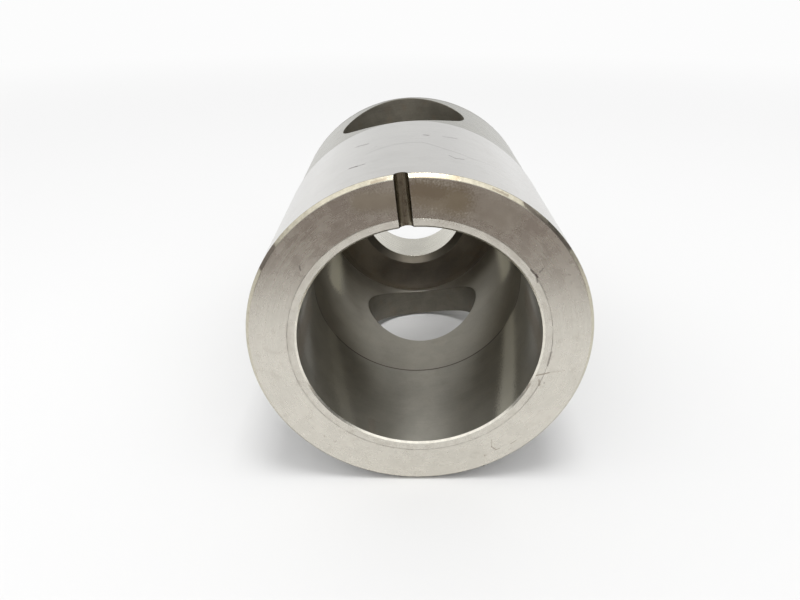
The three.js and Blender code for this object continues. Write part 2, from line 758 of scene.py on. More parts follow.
@dataclass(frozen=True)
class Stroke:
    """A mark on a face (turn, radius) or a band (turn, station): scratches, nicks and smears,
    and some painted reflections and painted shade.
    """

    start: tuple[float, float]
    end: tuple[float, float]
    width: float
    strength: float
    colour: Colour = SOOT_AND_PAINTED_SHADE


@dataclass(frozen=True)
class Ringmark:
    """A broken ring of colour at a radius or a station: dirt at the liner joint, a painted
    shadow at the liner's far end, and other darker rings.
    """

    middle: float
    half: float
    soft: float
    strength: float
    colour: Colour
    patch: float = 3.0
    breakup: float = 0.7
    seed: float = 0.0


@dataclass(frozen=True)
class Finish:
    """How one surface of the steel looks."""

    name: str
    tint: Colour
    roughness: float
    lay: Lay
    pitch: float = 0.12
    run: float = 14.0
    relief: float = 0.0012
    streak: float = 0.08
    mottle: float = 0.08
    mottle_size: float = 4.0
    stain: float = 0.0
    stain_size: float = 2.5
    uneven_gloss: float = 0.04
    pit_share: float = 0.0
    metal: float = 1.0
    grain_pull: float = 0.0
    plan_radius: float = 28.25
    strokes: tuple[Stroke, ...] = ()
    rings: tuple[Ringmark, ...] = ()

    def on_face(self) -> bool:
        """Whether places on this surface are told by radius, not by station."""
        return self.lay in (Lay.FACING, Lay.RADIAL)

    def plan_point(self, place: tuple[float, float]) -> tuple[float, float, float]:
        """A stroke's end as a point of the surface's flat plan, in millimetres."""
        turn, other = math.radians(place[0]), place[1]
        if self.on_face():
            return (other * math.sin(turn), 0.0, other * math.cos(turn))
        return (turn * self.plan_radius, 0.0, other)

    def build(self, effects: Effects) -> bpy.types.Material:
        """Makes the material.

        Args:
            effects: the shared node groups.

        Returns:
            The material.
        """
        material = new_material(self.name)
        sheet = SteelSheet(material.node_tree, self, effects)
        sheet.stain()
        sheet.mark_rings()
        sheet.mark_strokes()
        sheet.pit()
        bump = sheet.add("Bump")
        sheet.feed_all(bump, {"Strength": 1.0, "Distance": MM, "Height": sheet.height})
        shader = sheet.add("BsdfPrincipled")
        sheet.feed_all(
            shader,
            {
                "Metallic": self.metal, "Base Color": sheet.colour,
                "Roughness": sheet.gloss(), "Normal": bump.outputs[0],
            },
        )
        if self.grain_pull:
            around = sheet.add("Tangent", direction_type="RADIAL", axis="Y")
            sheet.feed_all(
                shader,
                {
                    "Anisotropic": self.grain_pull, "Anisotropic Rotation": QUARTER_TURN,
                    "Tangent": around.outputs[0],
                },
            )
        sheet.end_with(shader)
        return material


class SteelSheet(NodeSheet):
    """The nodes of one finish, laid over each other layer by layer."""

    def __init__(self, tree: Tree, finish: Finish, effects: Effects) -> None:
        """Lays the plain steel with its tool marks and its mottle.

        Args:
            tree: the material's nodes.
            finish: what the surface looks like.
            effects: the shared node groups.
        """
        super().__init__(tree)
        self.finish, self.effects = finish, effects
        place = self.effect(effects.places, Place=self.add("TexCoord").outputs["Object"])
        self.point, self.radius, self.turn, self.station = place.outputs
        across, line_point = self.line_places()
        self.lines = self.effect(
            effects.tool_marks, Point=line_point, Across=across, Pitch=finish.pitch,
            Run=finish.run,
        )
        self.cloud = self.patches(finish.mottle_size, 7.0)
        grain = self.patches(GRAIN_SIZE, 3.0, Low=0.25, High=0.75)
        tone = self.swing(self.cloud, finish.mottle, 1.0)
        tone = self.swing(self.lines.outputs["Height"], finish.streak * 2, tone)
        tone = self.swing(grain, finish.mottle * 0.6, tone)
        self.colour = self.blend(1.0, finish.tint, tone, "MULTIPLY")
        self.height = self.product(self.lines.outputs["Height"], finish.relief)
        # Mask of every laid mark, dirt and painted light alike; it makes the steel rougher.
        self.dirt_and_painted_light: Socket | None = None

    def patches(self, size: float, seed: float, **values: float) -> Socket:
        """Makes soft patches.

        Args:
            size: of a patch, in millimetres.
            seed: which draw of them.
            values: the cloud's other inputs.

        Returns:
            A mask from 0 to 1.
        """
        node = self.effect(
            self.effects.cloud, Point=self.point, Size=size, Seed=seed, **values
        )
        return node.outputs[0]

    def lay_over(self, mask: Socket, colour: Colour) -> None:
        """Lays a mark over the steel, dirt and painted light alike, which dulls it as well."""
        self.colour = self.blend(mask, self.colour, colour)
        self.dirt_and_painted_light = mask if self.dirt_and_painted_light is None else self.math("MAXIMUM", self.dirt_and_painted_light, mask)

    def stain(self) -> None:
        """Lays the oil stains, where the finish has them."""
        if self.finish.stain:
            mask = self.patches(
                self.finish.stain_size, 19.0, Low=0.52, High=0.72, Detail=5.0
            )
            mask = self.product(mask, self.finish.stain)
            self.colour = self.blend(mask, self.colour, OIL_BROWN_AND_PAINTED_SHADE)

    def mark_rings(self) -> None:
        """Lays the broken rings of colour, the painted shadow at the liner's end among them."""
        value = self.radius if self.finish.on_face() else self.station
        for ring in self.finish.rings:
            mask = self.effect(
                self.effects.band, Value=value, Middle=ring.middle, Half=ring.half,
                Soft=ring.soft, Point=self.point, Patch=ring.patch, Breakup=ring.breakup,
                Seed=ring.seed,
            ).outputs[0]
            self.lay_over(self.product(mask, ring.strength), ring.colour)

    def mark_strokes(self) -> None:
        """Lays the scratches, nicks and smears, and the painted reflection and shade strokes."""
        if not self.finish.strokes:
            return
        plan = self.plan_places()
        for stroke in self.finish.strokes:
            mask = self.effect(
                self.effects.stroke, Plan=plan, Start=self.finish.plan_point(stroke.start),
                End=self.finish.plan_point(stroke.end), Width=stroke.width,
                Strength=stroke.strength,
            ).outputs[0]
            self.lay_over(mask, stroke.colour)

    def pit(self) -> None:
        """Sinks the pits, where the finish has them."""
        if self.finish.pit_share:
            pits = self.effect(
                self.effects.pits, Point=self.point, Spacing=PIT_SPACING, Size=PIT_SIZE,
                Share=self.finish.pit_share,
            ).outputs[0]
            self.colour = self.blend(self.product(pits, 0.7), self.colour, SOOT_AND_PAINTED_SHADE)
            sunk = self.product(pits, PIT_DEPTH)
            self.height = self.math("SUBTRACT", self.height, sunk)

    def gloss(self) -> Socket:
        """How rough the steel is, with its uneven patches and its dulled marks."""
        uneven = self.finish.uneven_gloss
        rough = self.swing(self.cloud, uneven, self.finish.roughness)
        rough = self.swing(self.lines.outputs["Tone"], uneven, rough)
        if self.dirt_and_painted_light is not None:
            rough = self.math("MULTIPLY_ADD", self.dirt_and_painted_light, MARK_DULLING, rough)
        return rough

    def line_places(self) -> tuple[Socket, Socket]:
        """The value across the tool marks, and the point that they run by."""
        if self.finish.lay is Lay.FACING:
            return self.radius, self.point
        if self.finish.lay is Lay.AROUND:
            return self.station, self.point
        x, y, z = self.split(self.point)
        order = {Lay.HOLE: (z, x, y), Lay.RADIAL: (x, z, y)}
        across, second, third = order[self.finish.lay]
        return across, self.join(second, 0.0, third)

    def plan_places(self) -> Socket:
        """Places on the surface's flat plan, in millimetres."""
        if self.finish.on_face():
            x, _, z = self.split(self.point)
            return self.join(x, 0.0, z)
        arc = math.radians(1.0) * self.finish.plan_radius
        return self.join(self.product(self.turn, arc), 0.0, self.station)


JOINT_RADIUS = 21.49             # where the liner meets the sleeve

# The four large olive and brown strokes round the groove are a real rust-brown patch, made
# darker as a painted reflection of the dim ground in front; the rest are smudges and specks.
FACE_STROKES = (
    Stroke((6.0, 25.2), (18.0, 24.6), 5.2, 0.70, OLIVE),
    Stroke((4.0, 26.0), (12.0, 25.6), 2.4, 0.45, OIL_BROWN_AND_PAINTED_SHADE),
    Stroke((20.0, 25.2), (36.0, 25.0), 5.0, 0.28, OLIVE),
    Stroke((-14.0, 25.6), (-5.0, 24.6), 3.6, 0.58, OLIVE),
    Stroke((58.2, 21.45), (60.3, 21.50), 0.26, 0.75),
    Stroke((60.9, 21.60), (62.6, 21.62), 0.36, 0.85),
    Stroke((63.2, 21.40), (64.6, 21.25), 0.28, 0.60),
    Stroke((61.2, 22.30), (60.6, 23.10), 0.24, 0.55),
    Stroke((67.5, 25.9), (68.0, 26.1), 0.24, 0.30, OIL_BROWN_AND_PAINTED_SHADE),
    Stroke((100.0, 21.55), (107.0, 21.50), 0.30, 0.40),
    Stroke((113.4, 20.4), (110.2, 22.2), 0.20, 0.60, OIL_BROWN_AND_PAINTED_SHADE),
    Stroke((115.5, 21.2), (117.5, 21.6), 0.40, 0.40, OIL_BROWN_AND_PAINTED_SHADE),
    Stroke((110.0, 22.3), (108.0, 24.6), 0.16, 0.22, OIL_BROWN_AND_PAINTED_SHADE),
    Stroke((152.6, 23.2), (154.4, 24.5), 0.16, 0.35, OIL_BROWN_AND_PAINTED_SHADE),
    Stroke((154.4, 24.5), (153.6, 25.5), 0.20, 0.50, OIL_BROWN_AND_PAINTED_SHADE),
    Stroke((153.6, 25.5), (152.0, 25.6), 0.18, 0.40, OIL_BROWN_AND_PAINTED_SHADE),
    Stroke((147.4, 25.9), (144.8, 25.9), 0.18, 0.38, OIL_BROWN_AND_PAINTED_SHADE),
    Stroke((158.6, 25.6), (158.9, 25.7), 0.22, 0.35, OIL_BROWN_AND_PAINTED_SHADE),
    Stroke((311.6, 22.6), (312.9, 23.1), 0.24, 0.60),
    Stroke((222.5, 24.4), (223.0, 24.6), 0.20, 0.28, OIL_BROWN_AND_PAINTED_SHADE),
    Stroke((228.0, 24.7), (227.2, 24.9), 0.20, 0.28, OIL_BROWN_AND_PAINTED_SHADE),
)

JOURNAL_STROKES = (
    Stroke((-17.3, 11.3), (-14.6, 10.9), 0.44, 0.85),
    Stroke((-14.9, 10.7), (-11.9, 10.6), 0.34, 0.65),
    Stroke((-16.8, 25.4), (-12.2, 24.4), 0.50, 0.48),
    Stroke((8.4, 25.1), (9.6, 24.9), 0.70, 0.50),
    Stroke((15.4, 25.2), (20.2, 25.8), 0.50, 0.42),
    Stroke((15.8, 11.9), (17.6, 10.8), 0.28, 0.50),
    Stroke((17.6, 10.8), (20.6, 11.3), 0.34, 0.55),
    Stroke((-11.8, 17.3), (-2.0, 19.2), 0.30, 0.16),
    Stroke((-2.0, 19.2), (7.4, 19.4), 0.34, 0.18),
    Stroke((7.4, 19.4), (14.4, 16.0), 0.34, 0.18),
    Stroke((14.4, 16.0), (24.0, 13.4), 0.40, 0.20),
    Stroke((24.0, 13.4), (36.0, 14.3), 0.34, 0.16),
)

# The dark strokes at turns -55 to -47 and 39 to 60 are painted dark reflections on the chamfer,
# the right one also real speckled soiling; the others are oil and rust-brown marks.
RIM_STROKES = (
    Stroke((-55.0, 27.95), (-47.0, 27.95), 0.95, 0.75),
    Stroke((39.0, 28.1), (60.0, 28.1), 0.60, 0.70),
    Stroke((-9.0, 27.8), (-4.5, 27.9), 0.35, 0.55, OIL_BROWN_AND_PAINTED_SHADE),
    Stroke((3.0, 28.0), (17.0, 28.0), 0.70, 0.60, OLIVE),
    Stroke((28.0, 27.9), (33.0, 27.9), 0.30, 0.45, OIL_BROWN_AND_PAINTED_SHADE),
)

# Pale stripes on the bore's side walls, from station 44 to 62: painted reflections.
BORE_PAINTED_REFLECTIONS = (
    Stroke((-114.0, 47.0), (-109.0, 62.0), 5.8, 1.00, PAINTED_REFLECTION),
    Stroke((113.0, 44.0), (109.0, 62.0), 5.4, 0.97, PAINTED_REFLECTION),
)

# The two pale strokes are painted reflection stripes on the liner; the brown strokes at turns
# -89 and 99 are painted shade on its sides; the last is a small oil smear.
LINER_STROKES = (
    Stroke((137.5, 0.5), (119.5, 23.0), 4.6, 0.62, PAINTED_REFLECTION),
    Stroke((-136.0, 0.5), (-116.0, 23.0), 3.4, 0.20, PAINTED_REFLECTION),
    Stroke((-89.0, 1.0), (-86.0, 16.0), 4.6, 0.44, OIL_BROWN_AND_PAINTED_SHADE),
    Stroke((99.0, 1.0), (94.0, 16.0), 4.2, 0.42, OIL_BROWN_AND_PAINTED_SHADE),
    Stroke((-150.0, 1.0), (-149.0, 4.0), 1.4, 0.35, OIL_BROWN_AND_PAINTED_SHADE),
)


def steel_finishes() -> dict[Surface, Finish]:
    """The finish of every surface."""
    grime_at_joint = (
        Ringmark(JOINT_RADIUS, 0.02, 0.12, 0.25, SOOT_AND_PAINTED_SHADE, patch=2.4, breakup=0.9),
        Ringmark(JOINT_RADIUS - 0.35, 0.25, 0.6, 0.10, OIL_BROWN_AND_PAINTED_SHADE, 1.6, 1.0, 4.0),
    )
    return {
        Surface.FACE: Finish(
            "lapped_face", (0.66, 0.63, 0.562), 0.27, Lay.FACING, pitch=0.10,
            run=3.0, relief=0.0008, streak=0.05, mottle=0.06, mottle_size=2.4,
            stain=0.10, stain_size=1.6, pit_share=0.10, strokes=FACE_STROKES,
            rings=grime_at_joint,
        ),
        Surface.RIM: Finish(
            "turned_chamfer", (0.54, 0.505, 0.405), 0.22, Lay.FACING, pitch=0.08,
            run=2.0, relief=0.002, streak=0.14, mottle=0.14, mottle_size=0.8,
            stain=0.20, stain_size=0.7, strokes=RIM_STROKES,
        ),
        Surface.JOURNAL: Finish(
            "ground_journal", (0.66, 0.65, 0.625), 0.22, Lay.AROUND, pitch=0.16,
            run=26.0, relief=0.0008, streak=0.05, mottle=0.05, mottle_size=6.0,
            stain=0.05, stain_size=3.0, pit_share=0.08, strokes=JOURNAL_STROKES,
        ),
        Surface.BAND: Finish(
            "turned_band", (0.415, 0.408, 0.365), 0.27, Lay.AROUND, pitch=0.22,
            run=30.0, relief=0.0022, streak=0.14, mottle=0.10, mottle_size=4.0,
            stain=0.12, pit_share=0.08, plan_radius=28.05,
            # A darker broken ring just before the band's rear edge.
            rings=(Ringmark(65.3, 0.8, 0.4, 0.62, (0.19, 0.18, 0.15), 6.0, 0.45),),
        ),
        Surface.REAR: Finish(
            "turned_rear", (0.54, 0.525, 0.47), 0.30, Lay.FACING, pitch=0.20,
            run=12.0, relief=0.003, streak=0.14, mottle=0.12, stain=0.18,
            pit_share=0.12,
        ),
        Surface.BORE: Finish(
            "bored_steel", (0.46, 0.44, 0.385), 0.32, Lay.AROUND, pitch=0.20,
            run=18.0, relief=0.0003, streak=0.06, mottle=0.10, mottle_size=5.0,
            uneven_gloss=0.02, stain=0.10, stain_size=3.0, metal=0.9, grain_pull=0.85,
            plan_radius=21.5, strokes=BORE_PAINTED_REFLECTIONS,
        ),
        # The end wall's very dark tint is painted shade for the dark that the end of the bore
        # reflects; its ring darkens the lead-in round the shaft hole further.
        Surface.END: Finish(
            "end_wall", (0.195, 0.17, 0.137), 0.32, Lay.FACING, pitch=0.18,
            run=10.0, relief=0.002, streak=0.14, mottle=0.14, stain=0.25,
            rings=(Ringmark(12.75, 0.75, 0.1, 0.75, (0.08, 0.075, 0.06), 6.0, 0.2),),
        ),
        # The cross hole's very dark tint is partly the milled steel's dull tone and partly
        # painted shade inside the hole.
        Surface.HOLE: Finish(
            "milled_hole", (0.195, 0.18, 0.145), 0.50, Lay.HOLE, pitch=0.22,
            run=12.0, relief=0.004, streak=0.16, mottle=0.16, mottle_size=3.0,
            stain=0.30, metal=0.6,
        ),
        Surface.GROOVE: Finish(
            "milled_groove", (0.25, 0.225, 0.17), 0.28, Lay.RADIAL, pitch=0.10,
            run=6.0, relief=0.010, streak=0.55, mottle=0.20, mottle_size=1.2,
            stain=0.35, stain_size=1.2,
        ),
        Surface.SHAFT: Finish(
            "reamed_hole", (0.60, 0.58, 0.51), 0.26, Lay.AROUND, pitch=0.16,
            run=14.0, relief=0.0015, mottle=0.08, plan_radius=12.0,
        ),
        Surface.MOUTH: Finish(
            "liner_chamfer", (0.80, 0.77, 0.68), 0.18, Lay.FACING, pitch=0.07,
            run=3.0, relief=0.0012, streak=0.08, mottle=0.10, mottle_size=1.2,
            stain=0.12,
        ),
        Surface.LINER: Finish(
            "honed_liner", (0.455, 0.44, 0.39), 0.29, Lay.AROUND, pitch=0.55,
            run=16.0, relief=0.0, streak=0.07, mottle=0.10, mottle_size=4.5,
            uneven_gloss=0.008, stain=0.10, stain_size=2.6, metal=0.9, grain_pull=0.85,
            plan_radius=20.0, strokes=LINER_STROKES,
            # The dark ring at station 23.8 is a painted shadow where the liner ends inside the
            # bore.
            rings=(Ringmark(23.8, 0.28, 0.3, 0.85, SOOT_AND_PAINTED_SHADE, 6.0, 0.15),),
        ),
    }


TURNED_SQUARE = 0.9995           # a turned face's normal has this much in its axis plane


@dataclass
class Dresser:
    """Gives each face of a piece its surface's finish, and its true normals."""

    front: float
    finishes: dict[Surface, Finish]
    effects: Effects
    made: dict[Surface, bpy.types.Material] = field(default_factory=dict)

    def material(self, surface: Surface) -> bpy.types.Material:
        """The surface's material, built the first time it is asked for."""
        if surface not in self.made:
            self.made[surface] = self.finishes[surface].build(self.effects)
        return self.made[surface]

    def dress(
        self, piece: Piece, surface_of: Callable[[Spot], Surface]
    ) -> None:
        """Dresses one piece.

        Args:
            piece: the finished piece.
            surface_of: gives the surface that a face belongs to.
        """
        slots: dict[Surface, int] = {}
        for face in piece.data.polygons:
            middle = face.center / MM
            radius, station = math.hypot(middle.x, middle.z), middle.y - self.front
            surface = surface_of(Spot(radius, station, middle, face.normal))
            if surface not in slots:
                slots[surface] = len(slots)
                piece.data.materials.append(self.material(surface))
            face.material_index = slots[surface]

    @staticmethod
    def smooth(piece: Piece, hole: CrossHole | None, front: float) -> None:
        """Shades turned surfaces and the cross hole as the true rounds they are.

        Args:
            piece: the finished piece.
            hole: the cross hole, where the piece has one.
            front: the front face's place on the Y axis, in millimetres.
        """
        make_active(piece)
        bpy.ops.object.shade_smooth_by_angle(angle=SMOOTH)
        mesh = piece.data
        normals = [Vector(corner.vector) for corner in mesh.corner_normals]
        for face in mesh.polygons:
            facing = face.normal
            middle = face.center
            reach = math.hypot(middle.x, middle.z)
            outward = (facing.x * middle.x + facing.z * middle.z) / reach
            turned_face = outward * outward + facing.y * facing.y > TURNED_SQUARE
            walls = hole is not None and abs(facing.z) < HAIR and all(
                hole.on_wall(mesh.vertices[v].co, front) for v in face.vertices
            )
            if not (turned_face or walls):
                continue
            for corner in face.loop_indices:
                point = mesh.vertices[mesh.loops[corner].vertex_index].co
                if walls:
                    aside = Vector((point.x, point.y - (front + hole.station) * MM, 0.0))
                    normals[corner] = -aside.normalized()
                else:
                    spoke = Vector((point.x, 0.0, point.z)).normalized() * outward
                    normals[corner] = (spoke + Vector((0.0, facing.y, 0.0))).normalized()
        mesh.normals_split_custom_set(normals)


# ---- Surroundings ----------------------------------------------------------------


@dataclass(frozen=True)
class Daylight:
    """The light of the room, by direction: open behind, closed off in front.

    A level is how bright one side of the room is. A span is where the light goes over
    from one level to the next, in the direction's own x, y or z.
    """

    behind: float = 0.80
    aside: float = 1.02
    ahead: float = 0.30
    facing: float = 1.10
    left: float = 1.00
    right: float = 0.10
    above: float = 0.62
    overhead: float = 1.45
    seen: float = 0.97
    to_aside: Span = (0.1, 0.5)
    to_behind: Span = (-0.15, 0.3)
    right_out: Span = (0.3, 0.7)
    right_foot: Span = (0.17, 0.24)
    right_top: Span = (0.44, 0.54)
    left_out: Span = (-0.4, -0.7)
    left_foot: Span = (0.22, 0.3)
    roof_back: Span = (-0.1, 0.35)
    roof_foot: Span = (0.45, 0.7)
    facing_out: Span = (-0.45, -0.7)
    facing_foot: Span = (0.12, 0.27)

    def build(self) -> None:
        """Makes the scene's world."""
        world = bpy.data.worlds.new("room_light")
        bpy.context.scene.world = world
        world.use_nodes = True
        sheet = NodeSheet(world.node_tree)
        turn = sheet.add("VectorRotate", rotation_type="Y_AXIS")
        sheet.feed_all(
            turn, {"Vector": sheet.add("TexCoord").outputs["Generated"], "Angle": -LEAN}
        )
        lit = self.backdrop(sheet, self.level(sheet, turn.outputs[0]))
        plain = self.backdrop(sheet, self.seen)
        choice = sheet.add("MixShader")
        sheet.feed(choice, 0, sheet.add("LightPath").outputs["Is Camera Ray"])
        sheet.feed(choice, 1, lit.outputs[0])
        sheet.feed(choice, 2, plain.outputs[0])
        sheet.end_with(choice, "OutputWorld")

    def level(self, sheet: NodeSheet, direction: Socket) -> Socket:
        """Works out how bright the room is in a direction.

        Args:
            sheet: the world's nodes.
            direction: the direction, upright.

        Returns:
            The level.
        """
        across, along, up = sheet.split(direction)
        wall = sheet.ramp(
            sheet.math("ABSOLUTE", across), *self.to_aside, self.behind, self.aside
        )
        level = sheet.ramp(along, *self.to_behind, self.ahead, wall)
        left = sheet.product(sheet.ramp(across, *self.left_out), sheet.ramp(up, *self.left_foot))
        right = sheet.product(
            sheet.ramp(across, *self.right_out),
            sheet.ramp(up, *self.right_foot),
            sheet.ramp(up, *self.right_top, 1.0, 0.0),
        )
        facing = sheet.product(
            sheet.ramp(along, *self.facing_out), sheet.ramp(up, *self.facing_foot)
        )
        roof = sheet.ramp(along, *self.roof_back, self.overhead, self.above)
        for mask, aim in (
            (left, self.left),
            (sheet.ramp(up, *self.roof_foot), roof),
            (right, self.right),
            (facing, self.facing),
        ):
            level = sheet.lean(mask, level, aim)
        return level

    @staticmethod
    def backdrop(sheet: NodeSheet, strength: object) -> Node:
        """A white background of some strength."""
        node = sheet.add("Background")
        sheet.feed_all(node, {"Color": (1.0, 1.0, 1.0, 1.0), "Strength": strength})
        return node


@dataclass(frozen=True)
class Studio:
    """The floor, the darker ground further out in front, the lights and the camera."""

    front: float
    radius: float
    floor_size: float = 12.0
    floor_tone: float = 0.715
    floor_roughness: float = 0.6
    haze_tone: float = 0.975
    haze: Span = (0.16, 0.70)
    paper_reach: float = 79.0
    ground_size: Span = (3.0, 1.5)
    ground_lift: float = 0.0004
    ground_tint: Colour = (1.0, 0.84, 0.76)
    ground_glow: float = 0.26
    panel_side: float = 0.36
    panel_energy: float = 4.6
    panel_place: tuple[float, float, float] = (0.04, -0.18, 1.0)
    panel_tilt: float = 0.18
    down_light_energy: float = 19.0
    down_light_cone: float = 1.5
    down_light_blend: float = 0.4
    down_light_size: float = 0.02
    down_light_height: float = 1.0
    lens: float = 29.64
    sensor: float = 36.0
    clip: Span = (0.001, 20.0)
    stand_off: float = 92.4
    eye_height: float = 54.03
    eye_shift: float = -2.70
    look_down: float = 26.471
    look_aside: float = -0.291

    def build(self, hole_station: float) -> None:
        """Sets everything around the coupling.

        Args:
            hole_station: the cross hole's distance from the front face, in millimetres.
        """
        self.lay_floor()
        self.lay_far_ground()
        self.hang_panel()
        self.hang_down_light(hole_station)
        Daylight().build()
        self.place_camera()
        bpy.context.scene.view_settings.view_transform = "Standard"

    def sheet_at(
        self, name: str, size: Span, place: tuple[float, float, float],
        material: bpy.types.Material,
    ) -> Piece:
        """Adds a level sheet that is part of the surroundings.

        Args:
            name: the sheet's name.
            size: its width and depth, in metres.
            place: its middle, in metres, as the coupling stands.
            material: what it is made of.

        Returns:
            The sheet, with its place in its mesh.
        """
        deselect_all()
        bpy.ops.mesh.primitive_plane_add(size=1.0)
        piece = bpy.context.object
        piece.name = name
        spread = Matrix.Diagonal((*size, 1.0, 1.0))
        piece.data.transform(STANCE @ Matrix.Translation(place) @ spread)
        piece.data.materials.append(material)
        return piece

    def lay_floor(self) -> None:
        """Lays the pale floor that the sleeve rests on, which hazes to white far out."""
        material = new_material("pale_floor")
        sheet = NodeSheet(material.node_tree)
        distance = sheet.vector("LENGTH", sheet.add("TexCoord").outputs["Object"])
        far = sheet.ramp(distance, *self.haze)
        shader = sheet.add("BsdfPrincipled")
        sheet.feed_all(
            shader,
            {
                "Base Color": sheet.blend(far, (self.floor_tone,) * 3, BLACK),
                "Emission Color": sheet.blend(far, BLACK, (self.haze_tone,) * 3),
                "Emission Strength": 1.0,
                "Roughness": self.floor_roughness,
                "Specular IOR Level": 0.0,
            },
        )
        sheet.end_with(shader)
        size = (self.floor_size, self.floor_size)
        self.sheet_at("floor", size, (0.0, 0.0, -self.radius * MM), material)

    def lay_far_ground(self) -> None:
        """Lays the darker ground past the paper's edge, which only gloss sees."""
        material = new_material("far_ground")
        sheet = NodeSheet(material.node_tree)
        glow = sheet.add("Emission")
        sheet.feed_all(
            glow, {"Color": (*self.ground_tint, 1.0), "Strength": self.ground_glow}
        )
        sheet.end_with(glow)
        middle = (self.front - self.paper_reach) * MM - self.ground_size[1] / 2
        place = (0.0, middle, -self.radius * MM + self.ground_lift)
        ground = self.sheet_at("far_ground", self.ground_size, place, material)
        ground.visible_camera = False
        ground.visible_diffuse = False
        ground.visible_shadow = False
        ground.visible_transmission = False

    @staticmethod
    def set_up(name: str, data: bpy.types.ID, place: Matrix) -> Piece:
        """Puts a light or a camera into the scene.

        Args:
            name: its name.
            data: the light or the camera.
            place: where it is and which way it is turned.

        Returns:
            The new object.
        """
        thing = bpy.data.objects.new(name, data)
        bpy.context.scene.collection.objects.link(thing)
        thing.matrix_world = place
        return thing

    def hang_panel(self) -> None:
        """Hangs the soft light overhead."""
        lamp = bpy.data.lights.new("soft_panel", "AREA")
        lamp.shape = "RECTANGLE"
        lamp.size = lamp.size_y = self.panel_side
        lamp.energy = self.panel_energy
        tilt = Matrix.Rotation(self.panel_tilt, 4, "X")
        place = STANCE @ (Matrix.Translation(self.panel_place) @ tilt)
        self.set_up("soft_panel", lamp, place)

    def hang_down_light(self, hole_station: float) -> None:
        """Hangs a narrow light over the cross hole, which reaches the floor through it.

        Args:
            hole_station: the cross hole's distance from the front face, in millimetres.
        """
        lamp = bpy.data.lights.new("down_light", "SPOT")
        lamp.energy = self.down_light_energy
        lamp.spot_size = math.radians(self.down_light_cone)
        lamp.spot_blend = self.down_light_blend
        lamp.shadow_soft_size = self.down_light_size
        station = (self.front + hole_station) * MM
        place = Matrix.Translation((0.0, station, self.down_light_height))
        self.set_up("down_light", lamp, place)

    def place_camera(self) -> None:
        """Puts the camera in front of the bore, above the axis, looking down into it."""
        down, aside = math.radians(self.look_down), math.radians(self.look_aside)
        ahead = Vector((
            math.sin(aside) * math.cos(down),
            math.cos(aside) * math.cos(down),
            -math.sin(down),
        ))
        right = Vector((math.cos(aside), -math.sin(aside), 0.0))
        above = right.cross(ahead)
        turn = Matrix((right, above, -ahead)).transposed().to_4x4()
        eye = Vector((self.eye_shift, self.front - self.stand_off, self.eye_height)) * MM
        data = bpy.data.cameras.new("camera")
        data.lens, data.sensor_width = self.lens, self.sensor
        data.clip_start, data.clip_end = self.clip
        place = STANCE @ (Matrix.Translation(eye) @ turn)
        bpy.context.scene.camera = self.set_up("camera", data, place)


# ---- The sleeve and its liner ----------------------------------------------------


